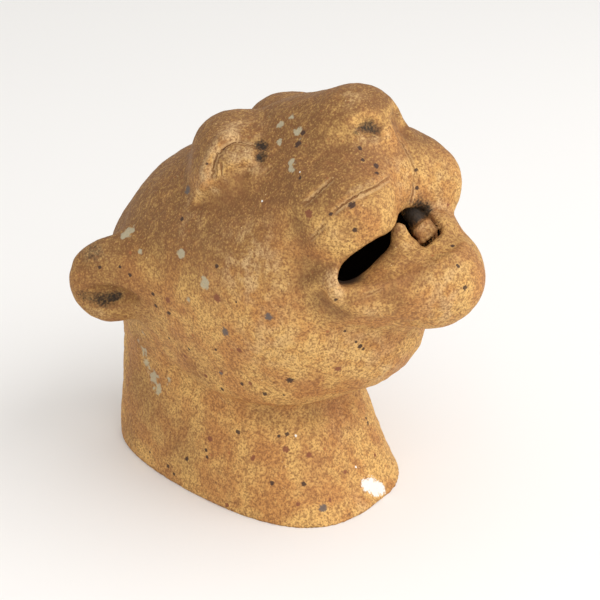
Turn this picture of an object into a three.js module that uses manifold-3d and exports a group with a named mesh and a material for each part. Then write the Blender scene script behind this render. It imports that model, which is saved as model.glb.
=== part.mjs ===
// A gargoyle head of fired stoneware, built by hand as a hollow pot: an animal's head thrown back
// on a short flared neck, with its mouth open into the hollow and two clay teeth near its middle.
// Millimetres, +Z up. The creature faces -Y and its left ear is on +X. The origin is on the ground
// at the middle of the whole head's box. Shapes are first placed from the middle of the neck's
// foot, as [right, forward, height] of the creature, and turned and moved to that frame at the end.

import * as THREE from 'three';
import { mergeVertices } from 'three/addons/utils/BufferGeometryUtils.js';
import Module from 'manifold-3d';

const wasm = await Module();
wasm.setup();

// Driving dimensions
const wall = 10;                // thickness of the clay wall
const footHalfWidth = 42;       // neck at the ground, half across
const footFront = 61;           // neck at the ground, forward of its middle
const footBack = 61;            // neck at the ground, behind its middle
const waistHeight = 38;         // where the neck is narrowest
const waistInFront = 21;        // how far the throat side draws in above the foot
const waistInSide = 6;          // how far each side draws in above the foot
const neckTop = 92;             // the neck's clay ends inside the skull
const footSkew = 0.07;          // the foot was cut off a little askew
const footShift = 1.5;          // and stands a little to the creature's right
const headTilt = 30;            // degrees that the skull is thrown back
const earSweep = 50;            // degrees that the ears are swept back
const skinCell = 5.35;          // step of the outer surface's facets
const hollowCell = 8.2;         // step of the inner surface's facets
const boxMiddle = 16.6;         // how far forward of the foot's middle the box's middle is

// The neck's sections
const drawCurve = 0.75;         // below 1: the throat side draws in quickly, then stays upright
const drawTop = 34;             // the throat side is fully drawn in at this height
const sideTop = 42;             // and the other sides at this one
const throatLean = 3;           // how far the throat side leans back above the waist
const throatLeanTop = 68;       // and where that lean ends
const backNarrowing = 0.12;     // how much narrower the neck is behind than in front
const narrowingEnds = [-50, 20]; // forward of the middle, where the narrowing is whole and gone
const squareBehind = 2.75;      // 2 is an ellipse; above it the corners fill out
const squareInFront = 2.4;      // the same towards the throat
const frontCorner = 0.65;       // extra squareness of the corner in front on the right
const cornerFront = [-10, 30];  // forward of the middle, where that extra begins and is whole
const cornerSide = [-20, 11];   // and the same to the right of the middle
const skewFront = [-10, 40];    // forward of the middle, where the skew begins and is whole
const neckCapSoft = 20;         // how roundly the column ends inside the skull
const columnFoot = -7;          // the column is built to below the ground and cut off flat there
const deeperInside = 0.2;       // and its hollow deeper still, by this share of the wall

// Lumps of clay. Each is an egg with a centre [right, forward, height] and half sizes in its own
// tilted axes, or a rod between two points with a radius at each. A pair has a mirrored twin on
// the other side. soft is the width over which the lump is smoothed into what is already there.
const skull = { at: [0, -9, 86], size: [46, 51, 43], pitch: headTilt, soft: 14 };
const cheek = { at: [22, 24, 86], size: [26, 38, 36], pitch: headTilt, soft: 16 };
const snout = { at: [0, 30, 118], size: [32, 40, 29], pitch: 24, soft: 14 };
const noseBridge = { from: [4, 16, 138], to: [3, 42, 145.5], thick: [10, 12], soft: 12 };
const noseTip = { at: [0, 45.5, 145.5], size: [15, 14, 12], pitch: 12, soft: 7 };
const brow = { at: [14, 2, 128], size: [16.5, 17, 17], soft: 7 };
const eyelid = { at: [24, 10, 127], size: [13, 14, 13], pitch: headTilt, yaw: -20, soft: 10 };
const upperLip = { at: [19, 51.3, 118], size: [18, 24, 19.4], pitch: headTilt, yaw: 5, soft: 9 };
const lipRoot = { at: [10, 45, 125], size: [13, 15, 10.5], pitch: 35, soft: 12 };
const chin = { at: [0, 80, 96.6], size: [19, 18, 17], pitch: headTilt, soft: 6 };
const lowerLip = { from: [29, 60, 98], to: [16, 75, 99], thick: [9, 11], soft: 7 };
const leftLowerLip = { from: [-26, 58, 95], to: [-13, 77, 98.5], thick: [8, 10.5], soft: 7 };
const jaw = { at: [0, 60, 92], size: [32, 24, 15], pitch: 10, soft: 8 };
const throat = { at: [0, 34, 66], size: [34, 38, 26], pitch: 15, soft: 10 };
const earFlap = { at: [46, -33.3, 79.8], size: [15.7, 8.5, 16.5], yaw: earSweep, soft: 7 };
const earRoot = { at: [38, -25, 86], size: [14, 12, 12.5], yaw: earSweep, soft: 7 };

// Pressed or cut into the outside
const earBowl = { at: [53, -28.5, 76.5], size: [11, 5, 4.5], yaw: earSweep, soft: 3 };
const nostril = { at: [9.5, 61, 148.5], size: [5, 5, 3.2], yaw: 40, roll: -20 };
const philtrum = { from: [0, 70, 144], to: [0, 79, 122], thick: [4.5, 6], soft: 3 };
const mouthSlot = { at: [6, 62, 113], size: [25, 30, 7], arch: 0.012 };
const mouthSide = { at: [20, 67.6, 106], size: [14, 20, 6.2], yaw: 50, pitch: 24, roll: 35.7 };

// The hollow, a wall's thickness inside the neck, skull and face
const hollowSkull = { at: skull.at, size: skull.size.map((half) => half - wall), pitch: headTilt, soft: 14 };
const hollowFace = { at: [0, 26, 90], size: [34, 36, 24], pitch: headTilt, soft: 14 };
const hollowSnout = { at: snout.at, size: [18, 26, 15], pitch: snout.pitch, soft: 14 };
const hollowMouth = { at: [0, 44, 99], size: [32, 26, 18], pitch: 10, soft: 10 };

// The lower lip is a roll of clay laid along the mouth's edge, from its right corner round to its
// left one, with a second roll behind it on the left, where the mouth is pinched shut. Each point
// of a roll is a place and a radius.
const lipRoll = [
  [[28, 64.4, 95.1], 4.2], [[23.5, 68.7, 95.6], 3.9], [[18.5, 71.7, 98.1], 4.4],
  [[11.5, 73.1, 102.2], 5], [[6, 75.4, 103.2], 4.6], [[0, 78.7, 105.2], 3.5],
  [[-5, 79.3, 107.5], 3.6], [[-9, 76.3, 111], 3], [[-15, 70.2, 111.4], 2.8],
  [[-23, 62, 106], 3.6], [[-30, 54, 100], 4],
];
const lipBacking = [
  [[-3, 77, 102], 5], [[-11, 73.5, 105.5], 5.5], [[-19, 65, 104], 5.5], [[-28, 56, 98], 5],
];
const rollSoft = 4;             // width over which the stretches of a roll are smoothed together
const rollCell = 4.0;           // step of the rolls' facets

// Two teeth. One is cut square: it hangs from its root under the upper lip into a pocket in the
// lower one. The other is pinched to a point and stands on the lower lip.
const squareTooth = { at: [-6.1, 71.5, 110.3], size: [3.8, 5, 2.95], yaw: 50, pitch: 24, roll: 40 };
const toothRoot = { at: [-6.6, 67, 113.5], size: [4, 7, 4], pitch: -50 };
const toothPocket = { at: [-2.3, 74.8, 112], size: [5, 12, 4.1], yaw: 50, pitch: 24, roll: 40 };
const pointedTooth = { at: [7.8, 72.6, 109], radius: 5.4, height: 15, thin: 0.6, lean: 10 };
const toothSides = 10;
const eggFacet = 5;             // length of the facets of a pressed or cut egg shape
const fewestFacets = 5;         // and the fewest of them over half its length
const mouthFacets = 12;         // facets of the mouth's lens over half its length

const clay = new THREE.MeshStandardMaterial({ color: 0xc08a54, roughness: 0.85, metalness: 0 });

const radians = THREE.MathUtils.degToRad;
const clamp = THREE.MathUtils.clamp;
const ease = (from, to, value) => THREE.MathUtils.smoothstep(value, from, to);
const mirrored = (p) => [Math.abs(p[0]), p[1], p[2]];

// A point in a lump's own axes: pitch lifts the lump's front, yaw turns it outwards, roll tips it.
function inAxesOf(shape, p) {
  let [side, forward, up] = [p[0] - shape.at[0], p[1] - shape.at[1], p[2] - shape.at[2]];
  const turn = (a, b, degrees) => {
    const c = Math.cos(radians(degrees));
    const s = Math.sin(radians(degrees));
    return [c * a - s * b, s * a + c * b];
  };
  [side, forward] = turn(side, forward, shape.yaw ?? 0);
  [up, forward] = turn(up, forward, shape.pitch ?? 0);
  [side, up] = turn(side, up, shape.roll ?? 0);
  return [side, forward, up];
}

// Signed distances, near enough for blending: below zero is inside.
function egg(shape, p) {
  const q = inAxesOf(shape, p);
  const near = Math.hypot(...q.map((value, i) => value / shape.size[i]));
  const slope = Math.hypot(...q.map((value, i) => value / shape.size[i] ** 2));
  const flattest = 1e-6;
  return near * (near - 1) / Math.max(slope, flattest);
}

function rod(shape, p) {
  const along = shape.to.map((value, i) => value - shape.from[i]);
  const away = p.map((value, i) => value - shape.from[i]);
  const dot = (a, b) => a[0] * b[0] + a[1] * b[1] + a[2] * b[2];
  const t = clamp(dot(away, along) / dot(along, along), 0, 1);
  const [start, end] = shape.thick;
  return Math.hypot(...away.map((value, i) => value - t * along[i])) - (start + (end - start) * t);
}

const cushion = (a, b, soft) => (Math.max(soft - Math.abs(a - b), 0) / soft) ** 2 * soft / 4;
const join = (a, b, soft) => Math.min(a, b) - cushion(a, b, soft);
const carve = (a, b, soft) => Math.max(a, -b) + cushion(a, -b, soft);
const meet = (a, b, soft) => Math.max(a, b) + cushion(a, b, soft);

// The neck is a column of rounded, nearly square sections: upright behind, drawn in at the throat.
// inset is how far inside the clay's outer face the section lies.
function neck([side, forward, height], inset) {
  const rise = ease(0, sideTop, height);
  const skew = footSkew * side * (1 - rise) * ease(...skewFront, forward);
  const draw = clamp(height / drawTop, 0, 1) ** drawCurve;
  const lean = throatLean * ease(waistHeight, throatLeanTop, height);
  const front = footFront - waistInFront * draw - lean - inset;
  const back = inset - footBack;
  const half = footHalfWidth - waistInSide * rise - inset;
  const narrowing = 1 - backNarrowing * (1 - ease(...narrowingEnds, forward));
  const frontness = ease(...cornerFront, forward);
  const squareness = squareBehind + (squareInFront - squareBehind) * frontness;
  const power = squareness + frontCorner * frontness * ease(...cornerSide, side);
  const across = Math.abs(side - footShift * (1 - rise)) / (half * narrowing);
  const lengthwise = Math.abs(forward - skew - (front + back) / 2) / ((front - back) / 2);
  const ring = (across ** power + lengthwise ** power) ** (1 / power);
  const outOfColumn = (ring - 1) * half;
  const aboveTop = height - neckTop + inset;
  const belowFoot = columnFoot - deeperInside * inset - height;
  return Math.max(meet(outOfColumn, aboveTop, neckCapSoft), belowFoot);
}

function outside(p) {
  const pair = mirrored(p);
  const lip = join(egg(upperLip, pair), egg(lipRoot, pair), lipRoot.soft);
  const ear = join(egg(earFlap, pair), egg(earRoot, pair), earRoot.soft);
  let clayAt = neck(p, 0);
  clayAt = join(clayAt, egg(skull, p), skull.soft);
  clayAt = join(clayAt, egg(cheek, pair), cheek.soft);
  clayAt = join(clayAt, egg(snout, p), snout.soft);
  clayAt = join(clayAt, rod(noseBridge, pair), noseBridge.soft);
  clayAt = join(clayAt, egg(noseTip, p), noseTip.soft);
  clayAt = join(clayAt, egg(brow, pair), brow.soft);
  clayAt = join(clayAt, egg(eyelid, pair), eyelid.soft);
  clayAt = join(clayAt, lip, upperLip.soft);
  clayAt = join(clayAt, egg(chin, p), chin.soft);
  clayAt = join(clayAt, rod(lowerLip, p), lowerLip.soft);
  clayAt = join(clayAt, rod(leftLowerLip, p), leftLowerLip.soft);
  clayAt = join(clayAt, egg(jaw, p), jaw.soft);
  clayAt = join(clayAt, egg(throat, p), throat.soft);
  clayAt = join(clayAt, ear, earFlap.soft);
  clayAt = carve(clayAt, egg(earBowl, pair), earBowl.soft);
  return carve(clayAt, rod(philtrum, p), philtrum.soft);
}

function inside(p) {
  const lumps = [hollowSkull, hollowFace, hollowSnout, hollowMouth];
  return lumps.reduce((airAt, lump) => join(airAt, egg(lump, p), lump.soft), neck(p, wall));
}

function lips(p) {
  const lines = [lipRoll, lipBacking];
  const stretches = lines.flatMap((line) => line.slice(1).map(([to, last], i) => {
    const [from, first] = line[i];
    return { from, to, thick: [first, last] };
  }));
  return stretches.reduce((clayAt, stretch) => join(clayAt, rod(stretch, p), rollSoft), Infinity);
}

// A closed skin of quads round everywhere that the field is below zero: one point in each grid
// cell that the surface crosses, drawn onto the surface, and one quad across each crossed edge.
function skinOf(field, low, high, cell) {
  const count = low.map((value, i) => Math.ceil((high[i] - value) / cell) + 1);
  const index = (i, j, k) => (k * count[1] + j) * count[0] + i;
  const place = (i, j, k) => [low[0] + i * cell, low[1] + j * cell, low[2] + k * cell];
  const values = new Float64Array(count[0] * count[1] * count[2]);
  const eachNode = (trim, visit) => {
    for (let k = 0; k < count[2] - trim; k++) {
      for (let j = 0; j < count[1] - trim; j++) {
        for (let i = 0; i < count[0] - trim; i++) visit(i, j, k);
      }
    }
  };
  eachNode(0, (i, j, k) => { values[index(i, j, k)] = field(place(i, j, k)); });

  const corners = [0, 1, 2, 3, 4, 5, 6, 7].map((c) => [c & 1, (c >> 1) & 1, c >> 2]);
  const edges = corners.flatMap((_, a) => [1, 2, 4].filter((bit) => !(a & bit)).map((bit) => [a, a | bit]));
  const pointOfCell = new Map();
  const points = [];
  eachNode(1, (i, j, k) => {
    const at = corners.map(([x, y, z]) => values[index(i + x, j + y, k + z)]);
    const crossed = edges.filter(([a, b]) => (at[a] < 0) !== (at[b] < 0));
    if (crossed.length === 0) return;
    const mean = [0, 0, 0];
    for (const [a, b] of crossed) {
      const t = at[a] / (at[a] - at[b]);
      for (let n = 0; n < 3; n++) mean[n] += corners[a][n] + t * (corners[b][n] - corners[a][n]);
    }
    pointOfCell.set(index(i, j, k), points.length);
    points.push(onSurface(field, place(...[i, j, k].map((v, n) => v + mean[n] / crossed.length))));
  });

  const faces = [];
  eachNode(1, (i, j, k) => {
    const here = values[index(i, j, k)] < 0;
    [[1, 0, 0], [0, 1, 0], [0, 0, 1]].forEach((step, axis) => {
      const there = values[index(i + step[0], j + step[1], k + step[2])] < 0;
      if (here === there) return;
      const u = [0, 0, 0];
      const v = [0, 0, 0];
      u[(axis + 1) % 3] = 1;
      v[(axis + 2) % 3] = 1;
      const cellPoint = (a, b) => pointOfCell.get(
        index(i - a * u[0] - b * v[0], j - a * u[1] - b * v[1], k - a * u[2] - b * v[2]));
      const quad = [cellPoint(1, 1), cellPoint(0, 1), cellPoint(0, 0), cellPoint(1, 0)];
      if (!here) quad.reverse();
      faces.push(quad[0], quad[1], quad[2], quad[0], quad[2], quad[3]);
    });
  });
  const geometry = new THREE.BufferGeometry();
  geometry.setAttribute('position', new THREE.Float32BufferAttribute(points.flat(), 3));
  geometry.setIndex(faces);
  return geometry;
}

// Moves a point along the field's slope until it lies on the surface.
function onSurface(field, start) {
  const reach = 0.5;
  const steps = 4;
  const gentlest = 0.25;
  let p = start;
  for (let step = 0; step < steps; step++) {
    const slope = p.map((_, n) => {
      const ahead = p.map((value, m) => value + (m === n ? reach : 0));
      const behind = p.map((value, m) => value - (m === n ? reach : 0));
      return (field(ahead) - field(behind)) / (2 * reach);
    });
    const steep = slope[0] ** 2 + slope[1] ** 2 + slope[2] ** 2;
    const off = field(p) / Math.max(steep, gentlest);
    p = p.map((value, n) => value - slope[n] * off);
  }
  return p;
}

// Geometry to a solid and back
function solid(geometry) {
  const weld = 1e-4;
  const bare = geometry.clone();
  bare.deleteAttribute('normal');
  bare.deleteAttribute('uv');
  const merged = mergeVertices(bare, weld);
  return new wasm.Manifold(new wasm.Mesh({
    numProp: 3,
    vertProperties: new Float32Array(merged.attributes.position.array),
    triVerts: new Uint32Array(merged.index.array),
  }));
}

function geometryOf(shape) {
  const mesh = shape.getMesh();
  const geometry = new THREE.BufferGeometry();
  geometry.setAttribute('position', new THREE.BufferAttribute(mesh.vertProperties, 3));
  geometry.setIndex(new THREE.BufferAttribute(mesh.triVerts, 1));
  geometry.computeVertexNormals();
  return geometry;
}

// Places a plain geometry by a shape's tilt and centre, its axes being side, forward and up.
function placed(geometry, shape, side = 1) {
  geometry.rotateY(radians(shape.roll ?? 0) * side);
  geometry.rotateX(radians(shape.pitch ?? 0));
  geometry.rotateZ(-radians(shape.yaw ?? 0) * side);
  return geometry.translate(shape.at[0] * side, shape.at[1], shape.at[2]);
}

// A ball stretched and tilted as the shape says
function eggGeometry(shape, side = 1) {
  const halfRound = Math.max(fewestFacets, Math.round(Math.PI * Math.max(...shape.size) / eggFacet));
  return placed(new THREE.SphereGeometry(1, 2 * halfRound, halfRound).scale(...shape.size), shape, side);
}

// The mouth is a flat lens, bowed so that its corners hang down.
function mouthGeometry() {
  const lens = new THREE.SphereGeometry(1, 2 * mouthFacets, mouthFacets).rotateX(Math.PI / 2);
  const geometry = placed(lens.scale(...mouthSlot.size), mouthSlot);
  const position = geometry.attributes.position;
  for (let i = 0; i < position.count; i++) {
    position.setZ(i, position.getZ(i) - mouthSlot.arch * position.getX(i) ** 2);
  }
  return geometry;
}

// A square block tilted as the shape says
function blockGeometry(shape) {
  return placed(new THREE.BoxGeometry(...shape.size.map((half) => 2 * half)), shape);
}

function pointedToothGeometry() {
  const { radius, height, thin, lean, at } = pointedTooth;
  const cone = new THREE.ConeGeometry(radius, height, toothSides).rotateX(Math.PI / 2);
  return cone.scale(1, thin, 1).rotateX(radians(lean)).translate(...at);
}

// The head, made as one piece. The grid takes in the whole head and a little of the ground, where
// the neck is cut off flat.
const gridLow = [-78, -70, -12];
const gridHigh = [78, 104, 170];
const groundWidth = 400;
const groundDepth = 60;
const ground = new THREE.BoxGeometry(groundWidth, groundWidth, groundDepth);
ground.translate(0, 0, -groundDepth / 2);
let head = solid(skinOf(outside, gridLow, gridHigh, skinCell));
head = head.subtract(solid(skinOf(inside, gridLow, gridHigh, hollowCell)));
head = head.subtract(solid(mouthGeometry())).subtract(solid(eggGeometry(mouthSide)));
for (const side of [-1, 1]) head = head.subtract(solid(eggGeometry(nostril, side)));
head = head.add(solid(skinOf(lips, gridLow, gridHigh, rollCell)));
head = head.subtract(solid(blockGeometry(toothPocket)));
head = head.add(solid(eggGeometry(toothRoot))).add(solid(blockGeometry(squareTooth)));
head = head.add(solid(pointedToothGeometry()));
head = head.subtract(solid(ground));

// From [right, forward, height] at the foot to the object's own frame, facing -Y
const geometry = geometryOf(head).translate(0, -boxMiddle, 0).rotateZ(Math.PI);
const gargoyleHead = new THREE.Mesh(geometry, clay);
gargoyleHead.name = 'gargoyle_head';

const part = new THREE.Group();
part.add(gargoyleHead);
export default part;
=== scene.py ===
import math

import bpy
import numpy as np
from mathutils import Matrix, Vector, noise
from mathutils.bvhtree import BVHTree


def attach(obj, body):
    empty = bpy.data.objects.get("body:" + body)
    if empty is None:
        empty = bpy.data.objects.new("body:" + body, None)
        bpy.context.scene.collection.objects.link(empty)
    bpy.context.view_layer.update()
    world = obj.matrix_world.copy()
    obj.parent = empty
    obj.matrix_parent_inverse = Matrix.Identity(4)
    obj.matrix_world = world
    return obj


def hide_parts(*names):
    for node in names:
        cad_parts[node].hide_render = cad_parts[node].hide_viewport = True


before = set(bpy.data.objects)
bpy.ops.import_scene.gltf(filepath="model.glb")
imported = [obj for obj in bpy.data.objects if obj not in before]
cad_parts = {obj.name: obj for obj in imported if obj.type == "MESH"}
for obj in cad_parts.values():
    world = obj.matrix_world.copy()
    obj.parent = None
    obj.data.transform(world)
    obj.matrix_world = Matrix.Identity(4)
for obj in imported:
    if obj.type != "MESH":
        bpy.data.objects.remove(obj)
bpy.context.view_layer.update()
scene = bpy.context.scene

# The place the head is seen from: in front of its right cheek and above, about two thirds of a
# metre away. Points named in pixels are across and down the square view of 600 pixels.
view_px = 600
view_azimuth = math.radians(-50)
view_elevation = math.radians(24)
view_distance = 0.670
view_width = 0.240
aim_right, aim_up = 0.0152, 0.0600
sensor_width = 36
box_middle = 0.0166

sight_right = Vector((math.cos(view_azimuth), math.sin(view_azimuth), 0))
sight_back = Vector((math.sin(view_azimuth) * math.cos(view_elevation),
                     -math.cos(view_azimuth) * math.cos(view_elevation),
                     math.sin(view_elevation)))
sight_up = sight_back.cross(sight_right)
aim = Vector((0, box_middle, 0)) + aim_right * sight_right + aim_up * sight_up
eye_place = aim + view_distance * sight_back

camera = bpy.data.objects.new("camera", bpy.data.cameras.new("camera"))
camera.location = eye_place
camera.rotation_euler = sight_back.to_track_quat("Z", "Y").to_euler()
camera.data.sensor_width = sensor_width
camera.data.lens = sensor_width * view_distance / view_width
scene.collection.objects.link(camera)
scene.camera = camera


def ray_through(pixel):
    across = float(pixel[0] - view_px / 2) * view_width / view_px
    up = float(view_px / 2 - pixel[1]) * view_width / view_px
    seen = aim + across * sight_right + up * sight_up
    return eye_place, (seen - eye_place).normalized()


# The clay outside. Each lump is pressed onto what is already there and smoothed in over a width
# called soft. Lumps are in millimetres from the middle of the neck's foot: to the creature's
# right, forward and up. Lumps placed with the mirror have a twin on the creature's left.
mm = 0.001
wall = 10
head_tilt = 30
ear_sweep = 50

# The neck: half of its size at the foot, how far it draws in to its waist, and how square its
# sections are behind and in front. Pairs give where a change begins and where it is whole.
foot_half_width = 42
foot_half_length = 61
waist_height = 38
waist_in_front = 21
waist_in_side = 6
neck_top, neck_cap_soft = 92, 20
draw_curve, draw_top = 0.75, 34
side_top = 42
throat_lean, throat_lean_top = 3, 68
back_narrowing, narrowing_ends = 0.12, (-50, 20)
square_behind, square_in_front = 2.75, 2.4
front_corner, corner_front, corner_side = 0.65, (-10, 30), (-20, 11)
foot_skew, skew_front, foot_shift = 0.07, (-10, 40), 1.5

skull = dict(at=(0, -9, 86), size=(46, 51, 43), pitch=head_tilt, soft=14)
cheek = dict(at=(22, 24, 86), size=(26, 38, 36), pitch=head_tilt, soft=16)
snout = dict(at=(0, 30, 118), size=(32, 40, 29), pitch=24, soft=14)
nose_bridge = dict(start=(4, 16, 138), end=(3, 42, 145.5), thick=(10, 12), soft=12)
nose_tip = dict(at=(0, 45.5, 145.5), size=(15, 14, 12), pitch=12, soft=7)
brow = dict(at=(14, 2, 128), size=(16.5, 17, 17), soft=7)
eyelid = dict(at=(24, 10, 127), size=(13, 14, 13), pitch=head_tilt, yaw=-20, soft=10)
upper_lip = dict(at=(19, 51.3, 118), size=(18, 24, 19.4), pitch=head_tilt, yaw=5, soft=9)
lip_root = dict(at=(10, 45, 125), size=(13, 15, 10.5), pitch=35, soft=12)
chin = dict(at=(0, 80, 96.6), size=(19, 18, 17), pitch=head_tilt, soft=6)
lower_lip = dict(start=(29, 60, 98), end=(16, 75, 99), thick=(9, 11), soft=7)
left_lower_lip = dict(start=(-26, 58, 95), end=(-13, 77, 98.5), thick=(8, 10.5), soft=7)
jaw = dict(at=(0, 60, 92), size=(32, 24, 15), pitch=10, soft=8)
throat = dict(at=(0, 34, 66), size=(34, 38, 26), pitch=15, soft=10)
ear_flap = dict(at=(46, -33.3, 79.8), size=(15.7, 8.5, 16.5), yaw=ear_sweep, soft=7)
ear_root = dict(at=(38, -25, 86), size=(14, 12, 12.5), yaw=ear_sweep, soft=7)
ear_bowl = dict(at=(53, -28.5, 76.5), size=(11, 5, 4.5), yaw=ear_sweep, soft=3)
philtrum = dict(start=(0, 70, 144), end=(0, 79, 122), thick=(4.5, 6), soft=3)


def turned(a, b, degrees):
    c, s = math.cos(math.radians(degrees)), math.sin(math.radians(degrees))
    return c * a - s * b, s * a + c * b


def in_axes_of(lump, side, forward, height):
    x, y, z = (p - c for p, c in zip((side, forward, height), lump["at"]))
    x, y = turned(x, y, lump.get("yaw", 0))
    z, y = turned(z, y, lump.get("pitch", 0))
    x, z = turned(x, z, lump.get("roll", 0))
    return x, y, z


def egg(lump, side, forward, height):
    """How far outside the lump each place is, near enough for blending: below zero is inside."""
    axes = in_axes_of(lump, side, forward, height)
    near = np.sqrt(sum((a / s) ** 2 for a, s in zip(axes, lump["size"])))
    slope = np.sqrt(sum((a / s ** 2) ** 2 for a, s in zip(axes, lump["size"])))
    flattest = 1e-6
    return near * (near - 1) / np.maximum(slope, flattest)


def away_from_line(points, start, end):
    """How far each point is from a straight line, and how far along it, from 0 to 1."""
    along = [b - a for a, b in zip(start, end)]
    away = [p - a for p, a in zip(points, start)]
    shortest = 1e-9
    t = sum(u * v for u, v in zip(away, along)) / max(sum(v * v for v in along), shortest)
    t = np.clip(t, 0, 1)
    return np.sqrt(sum((u - t * v) ** 2 for u, v in zip(away, along))), t


def rod(lump, side, forward, height):
    away, t = away_from_line((side, forward, height), lump["start"], lump["end"])
    first, last = lump["thick"]
    return away - (first + (last - first) * t)


def cushion(a, b, soft):
    return (np.maximum(soft - np.abs(a - b), 0) / soft) ** 2 * soft / 4


def join(a, b, soft):
    """The clay of both, with the valley between them filled over the width called soft."""
    return np.minimum(a, b) - cushion(a, b, soft)


def carve(a, b, soft):
    return np.maximum(a, -b) + cushion(a, -b, soft)


def meet(a, b, soft):
    return np.maximum(a, b) + cushion(a, b, soft)


def ease(start, end, value):
    t = np.clip((value - start) / (end - start), 0, 1)
    return t * t * (3 - 2 * t)


def neck(side, forward, height, inset):
    """The neck's sections are rounded squares: upright behind, drawn in at the throat."""
    rise = ease(0, side_top, height)
    frontness = ease(*corner_front, forward)
    skew = foot_skew * side * (1 - rise) * ease(*skew_front, forward)
    draw = np.clip(height / draw_top, 0, 1) ** draw_curve
    lean = throat_lean * ease(waist_height, throat_lean_top, height)
    front = foot_half_length - waist_in_front * draw - lean - inset
    back = inset - foot_half_length
    half = foot_half_width - waist_in_side * rise - inset
    narrowing = 1 - back_narrowing * (1 - ease(*narrowing_ends, forward))
    squareness = square_behind + (square_in_front - square_behind) * frontness
    power = squareness + front_corner * frontness * ease(*corner_side, side)
    across = np.abs(side - foot_shift * (1 - rise)) / (half * narrowing)
    lengthwise = np.abs(forward - skew - (front + back) / 2) / ((front - back) / 2)
    ring = (across ** power + lengthwise ** power) ** (1 / power)
    return meet((ring - 1) * half, height - neck_top + inset, neck_cap_soft)


def outside(side, forward, height):
    place = (side, forward, height)
    pair = (np.abs(side), forward, height)
    lip = join(egg(upper_lip, *pair), egg(lip_root, *pair), lip_root["soft"])
    ear = join(egg(ear_flap, *pair), egg(ear_root, *pair), ear_root["soft"])
    clay = neck(*place, 0)
    clay = join(clay, egg(skull, *place), skull["soft"])
    clay = join(clay, egg(cheek, *pair), cheek["soft"])
    clay = join(clay, egg(snout, *place), snout["soft"])
    clay = join(clay, rod(nose_bridge, *pair), nose_bridge["soft"])
    clay = join(clay, egg(nose_tip, *place), nose_tip["soft"])
    clay = join(clay, egg(brow, *pair), brow["soft"])
    clay = join(clay, egg(eyelid, *pair), eyelid["soft"])
    clay = join(clay, lip, upper_lip["soft"])
    clay = join(clay, egg(chin, *place), chin["soft"])
    clay = join(clay, rod(lower_lip, *place), lower_lip["soft"])
    clay = join(clay, rod(left_lower_lip, *place), left_lower_lip["soft"])
    clay = join(clay, egg(jaw, *place), jaw["soft"])
    clay = join(clay, egg(throat, *place), throat["soft"])
    clay = join(clay, ear, ear_flap["soft"])
    clay = carve(clay, egg(ear_bowl, *pair), ear_bowl["soft"])
    return carve(clay, rod(philtrum, *place), philtrum["soft"])


# The hollow, a wall's thickness inside the neck, the skull and the face. The pot was built hollow
# so that it would dry and fire without bursting, and it is open below.
hollow_skull = dict(skull, size=[half - wall for half in skull["size"]])
hollow_face = dict(at=(0, 26, 90), size=(34, 36, 24), pitch=head_tilt, soft=14)
hollow_snout = dict(at=snout["at"], size=(18, 26, 15), pitch=snout["pitch"], soft=14)
hollow_mouth = dict(at=(0, 44, 99), size=(32, 26, 18), pitch=10, soft=10)
hollow_edge = 1


def hollow(side, forward, height):
    air = neck(side, forward, height, wall)
    for lump in (hollow_skull, hollow_face, hollow_snout, hollow_mouth):
        air = join(air, egg(lump, side, forward, height), lump["soft"])
    return air


# The mouth is a bowed slot cut through into the hollow, with a roll of clay along it for a lower
# lip. The nostrils were pushed in with a stick. One clay tooth is cut square and hangs from under
# the upper lip into a pocket in the lower one, and one is pinched to a point on the lower lip.
mouth_slot = dict(at=(6, 62, 113), size=(25, 30, 7), arch=0.012, soft=2)
mouth_side = dict(at=(20, 67.6, 106), size=(14, 20, 6.2), yaw=50, pitch=24, roll=35.7, soft=2)
nostril = dict(at=(9.5, 61, 148.5), size=(5, 5, 3.2), yaw=40, roll=-20, soft=1.5)
lip_roll = [((28, 64.4, 95.1), 4.2), ((23.5, 68.7, 95.6), 3.9), ((18.5, 71.7, 98.1), 4.4),
            ((11.5, 73.1, 102.2), 5), ((6, 75.4, 103.2), 4.6), ((0, 78.7, 105.2), 3.5),
            ((-5, 79.3, 107.5), 3.6), ((-9, 76.3, 111), 3), ((-15, 70.2, 111.4), 2.8),
            ((-23, 62, 106), 3.6), ((-30, 54, 100), 4)]
lip_backing = [((-3, 77, 102), 5), ((-11, 73.5, 105.5), 5.5), ((-19, 65, 104), 5.5),
               ((-28, 56, 98), 5)]
lip_soft = 7
square_tooth = dict(at=(-5.4, 72.1, 110.7), size=(3.8, 5, 2.95), yaw=50, pitch=24, roll=40,
                    rounding=0.8, soft=0.5)
tooth_pocket = dict(at=(-2.3, 74.8, 112), size=(5, 12, 4.1), yaw=50, pitch=24, roll=40,
                    rounding=2.2, soft=1.2)
tooth_root = dict(start=(-6.1, 70.5, 110.8), end=(-7, 64.5, 116), thick=(2.9, 3.4), soft=1)
pointed_tooth = [
    dict(start=(8.5, 72.5, 105.2), end=(8.5, 70.5, 114.9), thick=(4, 2.2), soft=2.5),
    dict(start=(4.5, 73.8, 105.8), end=(8, 72, 115.5), thick=(3.6, 1.7), soft=2.5),
]
foot_edge = 0.8


def block(lump, side, forward, height):
    axes = in_axes_of(lump, side, forward, height)
    rounding = lump["rounding"]
    out = [np.abs(a) - (s - rounding) for a, s in zip(axes, lump["size"])]
    beyond = np.sqrt(sum(np.maximum(o, 0) ** 2 for o in out))
    return beyond + np.minimum(np.maximum(np.maximum(out[0], out[1]), out[2]), 0) - rounding


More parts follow.
